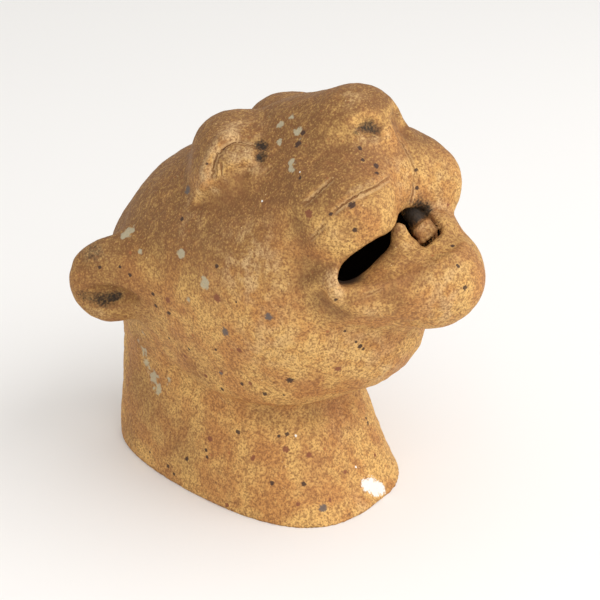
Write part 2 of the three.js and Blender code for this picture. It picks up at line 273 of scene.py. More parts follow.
def head_field(side, forward, height):
    place = (side, forward, height)
    pair = (np.abs(side), forward, height)
    bowed = (side, forward, height + mouth_slot["arch"] * side ** 2)
    clay = tooled(outside(*place), *place)
    clay = carve(clay, hollow(*place), hollow_edge)
    clay = carve(clay, egg(mouth_slot, *bowed), mouth_slot["soft"])
    clay = carve(clay, egg(mouth_side, *place), mouth_side["soft"])
    clay = carve(clay, egg(nostril, *pair), nostril["soft"])
    for line in (lip_backing, lip_roll):
        for (start, first), (end, last) in zip(line[:-1], line[1:]):
            roll = dict(start=start, end=end, thick=(first, last))
            clay = join(clay, rod(roll, *place), lip_soft)
    clay = carve(clay, block(tooth_pocket, *place), tooth_pocket["soft"])
    for roll in (*pointed_tooth, tooth_root):
        clay = join(clay, rod(roll, *place), roll["soft"])
    clay = join(clay, block(square_tooth, *place), square_tooth["soft"])
    return meet(clay, -height, foot_edge)


# The skin of the clay as a mesh: one point in each small cube that the surface crosses, moved
# onto the surface, and one four-sided face across each crossed edge.
def skin_of(field, low, high, cell):
    """The field is reckoned on a coarse grid first, and on the fine one only near the surface."""
    block_cells, far = 4, 1.9
    counts = [math.ceil((b - a) / cell / block_cells) * block_cells + 1 for a, b in zip(low, high)]
    axes = [a + cell * np.arange(n, dtype=np.float64) for a, n in zip(low, counts)]
    grid = np.meshgrid(*axes, indexing="ij")
    sparse = [g[::block_cells, ::block_cells, ::block_cells] for g in grid]
    rough = field(*[g.ravel() for g in sparse]).reshape(sparse[0].shape)
    near = np.abs(rough) < cell * block_cells * far
    for axis in range(3):
        near = near | np.roll(near, 1, axis) | np.roll(near, -1, axis)
    for axis in range(3):
        rough = np.repeat(rough, block_cells, axis)
        near = np.repeat(near, block_cells, axis)
    values = rough[:counts[0], :counts[1], :counts[2]].copy()
    near = near[:counts[0], :counts[1], :counts[2]]
    values[near] = field(*[g[near] for g in grid])
    clay = values < 0

    corners = [(i, j, k) for i in (0, 1) for j in (0, 1) for k in (0, 1)]
    window = [tuple(slice(c, n - 1 + c) for c, n in zip(corner, counts)) for corner in corners]
    filled = sum(clay[w].astype(np.uint8) for w in window)
    crossed = (filled > 0) & (filled < 8)
    cells = np.argwhere(crossed)
    number = np.full(crossed.shape, -1, np.int64)
    number[crossed] = np.arange(len(cells))
    at = np.stack([values[w][crossed] for w in window], 1)
    place = np.array(corners, float)
    total, hits = np.zeros((len(cells), 3)), np.zeros(len(cells))
    for a in range(8):
        for b in range(a + 1, 8):
            if np.abs(place[a] - place[b]).sum() != 1:
                continue
            cut = (at[:, a] < 0) != (at[:, b] < 0)
            t = np.where(cut, at[:, a] / np.where(cut, at[:, a] - at[:, b], 1), 0)
            total += cut[:, None] * (place[a] + t[:, None] * (place[b] - place[a]))
            hits += cut
    points = np.array(low) + cell * (cells + total / hits[:, None])

    faces = []
    for axis in range(3):
        here = [slice(None)] * 3
        there = [slice(None)] * 3
        here[axis], there[axis] = slice(0, -1), slice(1, None)
        edges = np.argwhere(clay[tuple(here)] != clay[tuple(there)])
        u, v = np.zeros(3, int), np.zeros(3, int)
        u[(axis + 1) % 3], v[(axis + 2) % 3] = 1, 1
        quad = np.stack([number[tuple((edges - a * u - b * v).T)]
                         for a, b in ((1, 1), (0, 1), (0, 0), (1, 0))], 1)
        outwards = clay[tuple(edges.T)]
        quad[~outwards] = quad[~outwards][:, ::-1]
        faces.append(quad)
    return points, np.concatenate(faces)


def slope_of(field, points, reach=0.3):
    slope = np.empty_like(points)
    for axis in range(3):
        step = np.zeros(3)
        step[axis] = reach
        slope[:, axis] = (field(*(points + step).T) - field(*(points - step).T)) / (2 * reach)
    return slope


def onto_surface(field, points, steps):
    gentlest = 0.25
    for _ in range(steps):
        slope = slope_of(field, points)
        steep = np.maximum((slope ** 2).sum(1), gentlest)
        points = points - slope * (field(*points.T) / steep)[:, None]
    return points


def to_frame(points):
    return np.stack([-points[:, 0] * mm, box_middle - points[:, 1] * mm, points[:, 2] * mm], 1)


def to_clay(point):
    return (-point[0] / mm, (box_middle - point[1]) / mm, point[2] / mm)


# The lines that the potter tooled into the face, each along a few points seen in the view and
# laid on the smooth clay. A positive depth is a groove and a negative one a raised roll.
grid_low = (-78, -70, -12)
grid_high = (78, 104, 170)
smooth_cell = 2.2
mark_reach = 2.5


def smooth_head(side, forward, height):
    return meet(outside(side, forward, height), -height, foot_edge)


smooth_points, smooth_faces = skin_of(smooth_head, grid_low, grid_high, smooth_cell)
smooth_clay = BVHTree.FromPolygons(to_frame(smooth_points).tolist(), smooth_faces.tolist())


def on_smooth_clay(pixel):
    start, way = ray_through(pixel)
    hit = smooth_clay.ray_cast(start, way)[0]
    if hit is None:
        hit = smooth_clay.find_nearest(start + way * view_distance)[0]
    return to_clay(hit)


def rounded(pixels, rounds=2):
    """The line with its corners cut off twice, so that it runs smoothly."""
    line = np.array(pixels, float)
    for _ in range(rounds if len(line) > 2 else 0):
        cut = [line[:-1] * 0.75 + line[1:] * 0.25, line[:-1] * 0.25 + line[1:] * 0.75]
        middle = np.stack(cut, 1).reshape(-1, 2)[1:-1]
        line = np.concatenate([line[:1], middle, line[-1:]])
    return line


def tool(pixels, depth, width, both=True, taper=0.25):
    """A tool's mark: both makes its twin on the creature's other side, and taper is the share of
    its length over which each end runs out."""
    points = np.array([on_smooth_clay(pixel) for pixel in rounded(pixels)])
    return dict(points=points, depth=depth, width=width, both=both, taper=taper)


inner_lid_crease = [(221, 179), (220, 170), (222, 161)]
long_lip_crease = [(390, 177), (377, 187), (364, 193), (351, 200), (340, 207), (330, 215)]
short_lip_crease = [(334, 178), (322, 187), (312, 196), (303, 205)]
low_lip_crease = [(326, 222), (318, 231), (309, 241)]
eye_scratch = [(262, 174), (273, 166)]
tool_marks = {
    "eyelid arc": tool([(214, 181), (212, 169), (215, 158), (221, 149), (228, 143), (236, 140),
                        (246, 141), (255, 144), (263, 147)], 2.4, 1.5, taper=0.1),
    "roll outside the arc": tool([(198, 196), (206, 184), (206, 171), (208, 160), (214, 149),
                                  (222, 139), (233, 133), (246, 133)], -1.4, 2.6),
    "roll inside the arc": tool([(218, 184), (216, 170), (219, 158), (226, 149), (237, 146),
                                 (248, 147)], -0.7, 1.2),
    "crease inside the arc": tool(inner_lid_crease, 1.3, 1.0),
    "closed eye": tool([(236, 160), (250, 157)], -1.4, 5.0, taper=0),
    "lower lid edge": tool([(190, 209), (203, 202), (214, 194), (219, 185), (225, 178),
                            (234, 173), (246, 170), (256, 165)], 3.2, 2.0, taper=0.15),
    "hollow under the eye": tool([(203, 213), (220, 199), (236, 189), (254, 181)], 2.4, 5.5),
    "upper pit in the eye's corner": tool([(258, 144), (265, 146)], 2.2, 1.6, taper=0),
    "lower pit in the eye's corner": tool([(259, 156), (260, 162)], 2.2, 1.7, taper=0),
    "scratch by the eye": tool(eye_scratch, 0.4, 0.6),
    "nose fold": tool([(352, 140), (336, 147), (318, 157), (304, 170)], 0.8, 3.0),
    "notch beside the nose": tool([(392, 108), (397, 118), (404, 127), (410, 130)], 2.6, 3.4,
                                  both=False),
    "nostril arch": tool([(357, 132), (361, 126), (369, 123), (377, 126), (381, 132)], 4.2, 2.4),
    "long lip crease": tool(long_lip_crease, 2.2, 1.2, both=False),
    "roll above it": tool([(388, 173), (376, 182), (363, 188), (350, 195), (338, 203)],
                          -1.6, 1.6, both=False),
    "short lip crease": tool(short_lip_crease, 1.4, 1.1),
    "low lip crease": tool(low_lip_crease, 1.2, 1.1),
    "line between the lips": tool([(397, 112), (396, 122), (399, 132), (404, 144), (410, 156),
                                   (415, 168), (417, 180), (415, 192), (409, 206)], 1.4, 1.5,
                                  both=False),
    "valley behind the lip": tool([(292, 205), (291, 235), (298, 262), (312, 285)], 1.2, 6.0),
    "lip edge": tool([(344, 268), (351, 257), (371, 240), (389, 227), (401, 218)], -0.6, 1.3,
                     both=False),
    "corner of the mouth": tool([(345, 268), (336, 277), (331, 286), (335, 295), (346, 299)],
                                -2.6, 3.0, both=False),
    "pit behind the corner": tool([(321, 284), (321, 297), (328, 309), (341, 314), (356, 314)],
                                  2.6, 3.2, both=False),
    "groove under the lip": tool([(352, 304), (364, 300), (384, 292), (400, 283), (415, 274),
                                  (433, 266)], 2.0, 3.4, both=False),
    "crease under the jaw": tool([(333, 316), (354, 319), (377, 321), (400, 323), (427, 328)],
                                 1.4, 2.6),
    "crease round the neck": tool([(156, 356), (169, 369), (187, 382), (205, 393), (225, 403),
                                   (248, 409), (272, 414), (295, 413), (318, 407), (347, 399),
                                   (368, 391)], 2.6, 5.0, taper=0.1),
    "jaw over the neck": tool([(160, 338), (176, 352), (205, 376), (245, 391), (290, 394),
                               (330, 385)], -2.6, 9.0),
}


def tooled(clay, side, forward, height):
    clay = clay.copy()
    for mark in tool_marks.values():
        across = np.abs(side) if mark["both"] else side
        line, width = mark["points"], mark["width"]
        low, high = line.min(0) - mark_reach * width, line.max(0) + mark_reach * width
        near = np.ones(len(clay), bool)
        for values, least, most in zip((across, forward, height), low, high):
            near &= (values > least) & (values < most)
        if not near.any():
            continue
        place = (across[near], forward[near], height[near])
        lengths = np.linalg.norm(np.diff(line, axis=0), axis=1)
        whole, walked = lengths.sum(), 0.0
        nearest, share = np.full(near.sum(), np.inf), np.zeros(near.sum())
        for start, end, length in zip(line[:-1], line[1:], lengths):
            away, t = away_from_line(place, start, end)
            closer = away < nearest
            nearest = np.where(closer, away, nearest)
            share = np.where(closer, (walked + t * length) / whole, share)
            walked += length
        fade = 1.0
        if mark["taper"]:
            fade = ease(0, mark["taper"], share) * ease(0, mark["taper"], 1 - share)
        clay[near] += mark["depth"] * np.exp(-(nearest / width) ** 2) * fade
    return clay


# Handling left the clay a little uneven, and turning the pot drew fine lines round its neck. A few
# chips are gone from the foot.
cell = 1.25
uneven_waves = [(15, 0.50), (6, 0.22), (2.9, 0.16)]
drawn_length, drawn_across, drawn_depth = 16, 1.7, 0.22
drawn_end = (60, 80)
even_foot = (0, 4)
foot_chips = [(350, 516, 1.2), (367, 513, 1.5), (373, 508, 1.2), (274, 526, 1.3), (308, 531, 1.0)]
chip_depth = 0.9
seen_around = (1.5, 4, 9)
wall_depth = (2.5, 5)
teeth_forward, teeth_height = (52, 58), (101, 104)


def uneven(points):
    """How far each point of the clay stands out, in millimetres."""
    height = points[:, 2]
    total = np.zeros(len(points))
    for wave, most in uneven_waves:
        total += most * np.array([noise.noise(Vector(point) / wave) for point in points])
    squashed = points / np.array([drawn_length, drawn_length, drawn_across])
    drawn = np.array([noise.noise(Vector(point)) for point in squashed])
    total += drawn_depth * drawn * (1 - ease(*drawn_end, height))
    return total * ease(*even_foot, height)


points, faces = skin_of(head_field, grid_low, grid_high, cell)
points = onto_surface(head_field, points, 3)
out = slope_of(head_field, points)
out /= np.linalg.norm(out, axis=1)[:, None]
groove = tooled(outside(*points.T), *points.T) - outside(*points.T)
# How open each point is to the room around it. The material paints the less open places darker, as
# painted shade in the hollows.
openness = np.mean([np.clip(head_field(*(points + out * reach).T) / reach, 0, 1)
                    for reach in seen_around], axis=0)
at_teeth = ease(*teeth_forward, points[:, 1]) * ease(*teeth_height, points[:, 2])
inside_wall = ease(*wall_depth, -outside(*points.T)) * (1 - at_teeth)
points = points + out * (uneven(points) * (1 - inside_wall))[:, None]

for across, down, radius in foot_chips:
    centre = np.array(on_smooth_clay((across, down)))
    away = np.linalg.norm(points - centre, axis=1)
    points -= out * (chip_depth * radius * np.exp(-(away / radius) ** 2))[:, None]
points[:, 2] = np.maximum(points[:, 2], 0)

mesh = bpy.data.meshes.new("stoneware_head")
mesh.from_pydata(to_frame(points).tolist(), [], faces.tolist())
mesh.shade_smooth()
head = bpy.data.objects.new("stoneware_head", mesh)
scene.collection.objects.link(head)
skin = BVHTree.FromPolygons(to_frame(points).tolist(), faces.tolist())


# Lines drawn with a needle, finer than the mesh: each point of the skin keeps how far it is to one
# side or the other of the nearest line, and how deep the line is there. Both are in millimetres,
# apart from needle_taper, the share of a line over which each end runs out.
no_line = 9.0
needle_reach, needle_taper = 4, 0.12
needle_fade = (1.6, 1.15)


def needle(pixels, depth=1.0, both=False):
    points = np.array([on_smooth_clay(pixel) for pixel in rounded(pixels)])
    return dict(points=points, depth=depth, both=both)


needle_lines = [
    needle(long_lip_crease),
    needle(short_lip_crease, 0.8, both=True),
    needle(low_lip_crease, 0.7, both=True),
    needle([(213, 184), (212, 169), (215, 158), (221, 149), (228, 143), (236, 140), (246, 141),
            (255, 144), (263, 147)], both=True),
    needle(inner_lid_crease, 0.8, both=True),
    needle([(200, 203), (214, 193), (219, 185), (225, 178), (234, 173), (246, 170), (256, 165)],
           0.8, both=True),
    needle([(357, 133), (360, 127), (367, 124), (375, 126), (380, 131)], both=True),
    needle([(397, 114), (396, 122), (399, 132), (404, 144), (410, 156), (415, 168), (417, 180)],
           0.7),
    needle([(415, 180), (415, 192), (409, 206)]),
    needle(eye_scratch, 0.5),
    needle([(217, 397), (224, 405)], 0.9),
    needle([(362, 297), (374, 293), (386, 288)], 0.5),
]
line_side = np.full(len(points), no_line)
line_depth = np.zeros(len(points))
for line in needle_lines:
    across = np.abs(points[:, 0]) if line["both"] else points[:, 0]
    turn = np.where((points[:, 0] < 0) & line["both"], -1.0, 1.0)
    place_here = np.stack([across, points[:, 1], points[:, 2]], 1)
    facing = out * np.stack([turn, np.ones(len(out)), np.ones(len(out))], 1)
    lengths = np.linalg.norm(np.diff(line["points"], axis=0), axis=1)
    whole, walked = lengths.sum(), 0.0
    for start, end, length in zip(line["points"][:-1], line["points"][1:], lengths):
        away, t = away_from_line(place_here.T, start, end)
        closer = np.flatnonzero((away < np.abs(line_side)) & (away < needle_reach))
        foot = start + t[closer, None] * (end - start)
        leftwards = np.cross((end - start) / length, facing[closer])
        sign = np.sign((leftwards * (place_here[closer] - foot)).sum(1))
        share = (walked + t[closer] * length) / whole
        fade = ease(0, needle_taper, share) * ease(0, needle_taper, 1 - share)
        line_side[closer] = away[closer] * sign
        line_depth[closer] = line["depth"] * fade
        walked += length
line_depth *= ease(*needle_fade, np.abs(line_side))


# Fire, soot, rain and lichen have stained the clay, and some of the stains are painted light and
# shade as well: the soot stains also paint the shade in crevices, the pale ones paint highlights, and
# the dull ones paint shadow. Each stain is named by where it shows in the view: across, down, how
# wide it is in millimetres, and how strong it is.
def on_skin(pixel):
    start, way = ray_through(pixel)
    hit = skin.ray_cast(start, way)[0]
    if hit is None:
        hit = skin.find_nearest(start + way * view_distance)[0]
    return np.array(to_clay(hit))


def stained(spots):
    clear = np.ones(len(points))
    for across, down, radius, strength in spots:
        away = np.linalg.norm(points - on_skin((across, down)), axis=1)
        clear *= 1 - strength * np.exp(-(away / radius) ** 2)
    return 1 - clear


# Soot in the nostrils, the eye's corners, the mouth, the ear's bowl and the chips of the foot. These
# stains also paint the shade that falls in these crevices and under the upper lip.
soot_and_shade_stains = [
    (362, 128, 2.0, 0.7), (369, 129, 2.2, 0.8), (377, 131, 2.0, 0.7), (393, 112, 1.6, 0.5),
    (258, 145, 1.5, 0.7), (264, 147, 1.7, 0.8), (260, 158, 1.6, 0.9), (268, 154, 2.6, 0.35),
    (400, 216, 2.2, 0.6), (407, 209, 2.4, 0.7), (416, 206, 2.4, 0.75), (425, 206, 2.2, 0.7),
    (430, 209, 1.6, 0.6), (408, 201, 2.6, 0.45), (420, 200, 3.0, 0.45), (417, 188, 1.8, 0.35),
    (392, 227, 1.6, 0.4), (413, 217, 1.8, 0.8), (420, 213, 2.0, 0.8), (428, 215, 1.5, 0.6),
    (409, 226, 1.1, 0.7), (438, 222, 1.3, 0.6), (441, 229, 1.3, 0.6), (440, 237, 1.3, 0.6),
    (407, 219, 2.4, 1.4), (413, 216, 2.4, 1.5), (419, 213, 2.2, 1.5), (425, 210, 2.0, 1.2),
    (411, 222, 1.6, 1.4), (262, 146, 3.2, 0.55), (260, 158, 3.0, 0.55), (370, 122, 2.2, 0.6),
    (356, 133, 1.6, 0.6), (95, 249, 5, 0.45), (88, 257, 5, 0.35), (432, 243, 1.2, 0.6),
    (350, 266, 1.2, 0.35), (366, 251, 1.2, 0.4), (380, 241, 1.3, 0.4), (80, 293, 2.6, 0.5),
    (88, 296, 2.8, 0.55), (97, 299, 3.0, 0.6), (106, 299, 2.8, 0.65), (114, 297, 2.4, 0.8),
    (119, 295, 1.8, 0.8), (104, 303, 2.6, 0.5), (318, 300, 3.6, 0.35), (334, 309, 3.0, 0.3),
    (404, 146, 1.4, 0.4), (411, 160, 1.4, 0.4), (416, 176, 1.6, 0.4), (350, 515, 1.2, 0.6),
    (367, 512, 1.4, 0.8), (373, 507, 1.2, 0.8), (250, 520, 3.0, 0.2),
]
red_stains = [
    (265, 196, 8, 0.8), (245, 203, 6, 0.7), (272, 222, 6, 0.5), (352, 163, 7, 0.75),
    (372, 172, 6, 0.8), (335, 190, 6, 0.5), (352, 205, 4, 0.6), (380, 212, 5, 0.4),
    (240, 168, 4, 0.4), (300, 292, 6, 0.5), (308, 250, 5, 0.6), (216, 300, 7, 0.5),
    (285, 300, 7, 0.4), (395, 298, 7, 0.65), (425, 262, 5, 0.5), (362, 303, 5, 0.6),
    (345, 322, 6, 0.4), (255, 455, 7, 0.3), (320, 462, 8, 0.35), (220, 442, 7, 0.3),
    (205, 372, 7, 0.35), (300, 395, 8, 0.3), (385, 430, 5, 0.4), (130, 275, 5, 0.4),
    (440, 235, 5, 0.4), (455, 262, 5, 0.35), (435, 150, 6, 0.35), (230, 186, 5, 0.6),
]
# Pale clay, and painted highlights: on the lit rims of the eye, the lips and the ear, on the lit
# cheek and chin, and on the shaded front of the square tooth.
pale_and_lit_stains = [
    (192, 201, 2.4, 0.7), (199, 190, 2.6, 0.8), (204, 177, 2.8, 0.8), (208, 163, 2.6, 0.8),
    (214, 152, 2.4, 0.8), (222, 143, 2.4, 0.8), (232, 135, 3.0, 0.8), (240, 129, 6.0, 0.95),
    (190, 226, 5.0, 0.4), (215, 188, 2.0, 0.9), (222, 181, 1.8, 0.6), (240, 157, 4.5, 0.65),
    (255, 168, 3.0, 0.4), (386, 135, 2.0, 0.8), (376, 139, 2.2, 0.7), (360, 139, 2.4, 0.6),
    (333, 286, 3.2, 0.8), (338, 296, 3.2, 0.8), (330, 277, 2.6, 0.6), (352, 262, 1.6, 0.6),
    (371, 246, 1.6, 0.6), (389, 231, 1.4, 0.6), (370, 313, 4.0, 0.5), (345, 204, 1.5, 0.6),
    (362, 196, 1.5, 0.6), (378, 187, 1.5, 0.6), (312, 196, 1.6, 0.4), (445, 312, 5.0, 0.5),
    (388, 372, 6.0, 0.5), (402, 228, 2.0, 0.7), (425, 231, 3.0, 1), (421, 238, 1.6, 0.8),
    (432, 230, 1.6, 0.8), (408, 245, 2.0, 0.5), (438, 214, 2.0, 0.6), (250, 262, 12, 0.7),
    (252, 272, 9, 0.5), (270, 345, 14, 0.5), (396, 168, 6.0, 0.4), (450, 292, 5.0, 0.35),
    (95, 252, 5.0, 0.4), (100, 311, 3.5, 0.5), (362, 505, 6.0, 0.4), (335, 235, 4.0, 0.35),
    (350, 345, 9.0, 0.4), (340, 425, 8.0, 0.3), (405, 185, 5, 0.6), (440, 185, 7, 0.6),
    (437, 203, 5, 0.6), (445, 280, 7, 0.6), (385, 370, 8, 0.6), (440, 312, 6, 0.6),
    (370, 350, 7, 0.5), (350, 97, 5, 0.5),
]
# Dull weathered patches, and painted shadow under the eye's lower lid, in the valley behind the lip
# and on the neck's shaded left side.
dull_and_shade_stains = [
    (228, 200, 5, 0.8), (212, 208, 5, 0.7), (248, 188, 5, 0.7), (288, 150, 8, 0.6),
    (300, 222, 5, 0.85), (306, 240, 4, 0.8), (296, 205, 6, 0.6), (312, 268, 4, 0.7),
    (176, 236, 7, 0.4), (160, 250, 7, 0.6), (335, 165, 6, 0.7), (362, 184, 5, 0.7),
    (345, 178, 6, 0.6), (318, 300, 5, 0.7), (334, 312, 5, 0.6), (400, 300, 5, 0.5),
    (150, 400, 12, 0.6), (180, 450, 12, 0.3), (196, 372, 7, 0.4), (310, 416, 6, 0.4),
    (270, 414, 6, 0.3), (392, 120, 4, 0.4), (410, 150, 3, 0.5), (330, 205, 3, 0.6),
    (352, 296, 4, 0.5), (200, 150, 8, 0.5), (140, 285, 6, 0.5), (165, 190, 9, 0.6),
    (150, 215, 8, 0.6), (300, 120, 8, 0.7), (330, 140, 7, 0.55), (350, 225, 4, 0.4),
    (372, 205, 4, 0.3), (440, 170, 6, 0.3), (100, 265, 9, 0.8), (92, 250, 8, 0.9),
    (80, 262, 6, 0.8), (135, 380, 10, 0.6), (180, 440, 10, 0.35), (130, 430, 8, 0.5),
    (380, 100, 6, 0.4), (300, 128, 7, 0.5), (95, 248, 6, 0.8), (172, 186, 8, 0.5),
    (262, 105, 6, 0.5), (140, 340, 8, 0.5), (110, 285, 7, 0.5),
]
lichen_stains = [
    (129, 231, 3.0, 0.95), (124, 236, 2.2, 0.7), (181, 254, 2.3, 1), (205, 283, 2.8, 1),
    (291, 162, 2.1, 0.9), (292, 169, 1.8, 0.8), (280, 142, 1.8, 0.8), (280, 124, 2.2, 0.8),
    (297, 131, 2.4, 0.8), (292, 117, 2.0, 0.7), (188, 300, 1.9, 0.8), (141, 251, 1.6, 0.7),
    (148, 262, 1.2, 0.5), (178, 176, 1.6, 0.5), (144, 333, 3.0, 0.5), (144, 350, 3.0, 0.6),
    (146, 362, 3.4, 0.75), (154, 377, 3.6, 0.8), (158, 390, 3.2, 0.7), (168, 380, 2.6, 0.6),
    (138, 340, 2.0, 0.5), (300, 140, 2.0, 0.4), (268, 118, 1.8, 0.4), (160, 425, 2.2, 0.3),
]

# Iron in the clay melted into round spots in the kiln, and a drip of glaze fell on the foot: here
# across, down and how wide, in millimetres. More are strewn over the sides that the view hides.
mark_kinds = {
    "iron": dict(colour=(0.050, 0.026, 0.020), spots=[
        (188, 189, 1.1), (182, 219, 0.9), (217, 266, 0.8), (290, 380, 1.5), (265, 394, 1.1),
        (309, 215, 0.9), (352, 205, 1.3), (360, 148, 0.9), (376, 166, 1.1), (377, 173, 0.9),
        (363, 160, 0.8), (331, 214, 0.7), (355, 230, 0.9), (272, 483, 0.9), (304, 484, 0.9),
        (287, 434, 0.8), (187, 459, 0.9), (206, 450, 0.7), (207, 457, 0.7), (360, 346, 0.9),
        (363, 349, 0.6), (356, 342, 0.6), (368, 423, 0.9), (366, 418, 0.6), (465, 288, 1.0),
        (458, 266, 0.8), (453, 246, 0.9), (416, 170, 0.7), (417, 188, 0.8), (169, 313, 0.9),
        (169, 338, 0.7), (156, 306, 0.8), (153, 294, 0.8), (189, 349, 0.8), (216, 350, 0.6),
        (222, 389, 0.8), (242, 384, 0.8), (279, 436, 0.6), (298, 144, 1.3), (303, 133, 1.1),
        (238, 432, 1.0), (168, 466, 0.8), (174, 474, 0.7), (150, 452, 0.6), (284, 395, 0.5),
        (130, 275, 0.8), (100, 267, 0.7), (120, 267, 0.6), (224, 149, 0.4), (207, 164, 0.5),
        (300, 178, 0.7), (336, 300, 0.6), (345, 331, 0.6), (372, 327, 0.5), (236, 302, 0.5),
    ]),
    "grey": dict(colour=(0.125, 0.100, 0.090), spots=[
        (269, 317, 1.5), (225, 332, 1.7), (323, 508, 1.5), (188, 190, 1.9), (221, 373, 0.9),
    ]),
    "red": dict(colour=(0.22, 0.075, 0.035), spots=[
        (217, 298, 1.6), (239, 350, 1.2), (286, 449, 1.4), (338, 369, 1.4), (309, 455, 1.1),
        (345, 472, 0.9), (206, 376, 0.9), (210, 439, 1.2), (222, 372, 0.8), (309, 214, 1.6),
        (168, 300, 1.2), (185, 356, 0.9), (250, 383, 0.9), (330, 500, 0.8), (298, 504, 0.8),
        (390, 447, 0.8), (375, 455, 0.8), (227, 505, 0.9), (253, 458, 1.0), (448, 205, 0.6),
    ]),
    "glaze": dict(colour=(0.86, 0.85, 0.81), spots=[
        (366, 485, 2.6), (372, 486, 3.4), (379, 488, 3.0), (375, 491, 2.4), (356, 467, 0.5),
        (296, 436, 0.5), (300, 172, 0.4), (262, 201, 0.4),
    ]),
}
mark_edge = 1.6
hidden_spots = 150
hidden_kinds = {"iron": 0.65, "red": 0.25, "grey": 0.10}
smallest_spot, spot_growth = 0.45, 1.1
facing_away, outer_wall, above_foot = 0.15, 0.1, 1
spot_random = np.random.default_rng(11)

mark_centres, mark_radii, mark_colours = [], [], []
for kind in mark_kinds.values():
    for across, down, radius in kind["spots"]:
        mark_centres.append(on_skin((across, down)))
        mark_radii.append(radius)
        mark_colours.append(kind["colour"])
to_eye = np.array([-sight_back.x, -sight_back.y, sight_back.z])
hidden = np.flatnonzero((out @ to_eye < facing_away) & (inside_wall < outer_wall)
                        & (points[:, 2] > above_foot))
for index in spot_random.choice(hidden, hidden_spots, replace=False):
    kind = spot_random.choice(list(hidden_kinds), p=list(hidden_kinds.values()))
    mark_centres.append(points[index])
    mark_radii.append(smallest_spot + spot_growth * spot_random.random() ** 2)
    mark_colours.append(mark_kinds[kind]["colour"])

face_middles = points[faces].mean(axis=1)
mark_at = np.zeros((len(faces), 3))
mark_radius = np.full(len(faces), 0.001)
mark_colour = np.ones((len(faces), 4))
closest = np.full(len(faces), np.inf)
for centre, radius, colour in zip(mark_centres, mark_radii, mark_colours):
    away = np.linalg.norm(face_middles - centre, axis=1)
    near = (away < mark_edge * radius + cell) & (away / radius < closest)
    closest[near] = away[near] / radius
    mark_at[near], mark_radius[near], mark_colour[near, :3] = centre, radius, colour

# The tops of the head have weathered to a dull brown, less so on the face, and so have both ears.
weather_way = np.array([0, -0.35, 0.94])
weathered_facing, weathered_height = (-0.15, 0.55), (60, 95)
face_forward, face_spared = (60, 70), 0.6
ear_middle, ear_reach, ear_weathered = np.array(ear_flap["at"]), 20, 0.95

from_ear = np.linalg.norm(np.abs(points) * [1, 0, 0] + points * [0, 1, 1] - ear_middle, axis=1)
weathered = ease(*weathered_facing, out @ weather_way) * ease(*weathered_height, points[:, 2])
weathered *= 1 - face_spared * ease(*face_forward, points[:, 1])
weathered = np.maximum(weathered, ear_weathered * np.exp(-(from_ear / ear_reach) ** 2))

# The tooled grooves are darkened as painted shade and the ridges beside them are painted paler, but
# not on the neck.
groove_depth, groove_height = (0.3, 2.2), (75, 90)
ridge_rise, ridge_height = (0.3, 1.2), (95, 105)
shaded_groove = ease(*groove_depth, groove) * ease(*groove_height, points[:, 2])
pale_ridge = ease(*ridge_rise, -groove) * ease(*ridge_height, points[:, 2])


def keep(name, domain, values):
    kind, field = {1: ("FLOAT", "value"), 3: ("FLOAT_VECTOR", "vector"),
                   4: ("FLOAT_COLOR", "color")}[1 if values.ndim == 1 else values.shape[1]]
    mesh.attributes.new(name, kind, domain).data.foreach_set(field, values.astype(np.float32).ravel())


keep("soot_and_shade", "POINT", stained(soot_and_shade_stains))
keep("red", "POINT", stained(red_stains))
keep("pale_and_lit", "POINT", stained(pale_and_lit_stains))
keep("lichen", "POINT", stained(lichen_stains))
keep("dull_and_shaded", "POINT", stained(dull_and_shade_stains))
keep("open", "POINT", openness)
keep("weathered", "POINT", weathered)
# The inside wall, which the material paints near black as painted shade.
keep("inner", "POINT", inside_wall)
keep("line_side", "POINT", line_side)
keep("line_depth", "POINT", line_depth)
keep("groove", "POINT", shaded_groove)
keep("ridge", "POINT", pale_ridge)
keep("mark_at", "FACE", to_frame(mark_at))
keep("mark_radius", "FACE", mark_radius * mm)
keep("mark_colour", "FACE", mark_colour)

# The fired clay itself: ochre stoneware, dull, gritty and closely speckled with iron. Its colours lie
# over one another in coats, and some of the coats are painted shade and painted highlight. Sizes of
# mottles, grains and lines are in millimetres.
clay_look = bpy.data.materials.new("fired_stoneware")
clay_look.use_nodes = True
nodes, links = clay_look.node_tree.nodes, clay_look.node_tree.links
place = nodes.new("ShaderNodeTexCoord").outputs["Object"]


def put(value, socket):
    if isinstance(value, bpy.types.NodeSocket):
        links.new(value, socket)
    elif isinstance(value, tuple):
        socket.default_value = (*value, 1)
    else:
        socket.default_value = value


def reckon(operation, *values):
    step = nodes.new("ShaderNodeMath")
    step.operation = operation
    for value, socket in zip(values, step.inputs):
        put(value, socket)
    return step.outputs[0]


def times(*values):
    total = values[0]
    for value in values[1:]:
        total = reckon("MULTIPLY", total, value)
    return total


def ramp(value, low, high):
    step = nodes.new("ShaderNodeMapRange")
    step.interpolation_type = "SMOOTHSTEP"
    put(value, step.inputs["Value"])
    step.inputs["From Min"].default_value = low
    step.inputs["From Max"].default_value = high
    return step.outputs["Result"]


def cloud(size, detail=3):
    """A soft mottle, with lumps of the size given in millimetres."""
    texture = nodes.new("ShaderNodeTexNoise")
    texture.inputs["Scale"].default_value = 1 / (size * mm)
    texture.inputs["Detail"].default_value = detail
    links.new(place, texture.inputs["Vector"])
    return texture.outputs["Fac"]


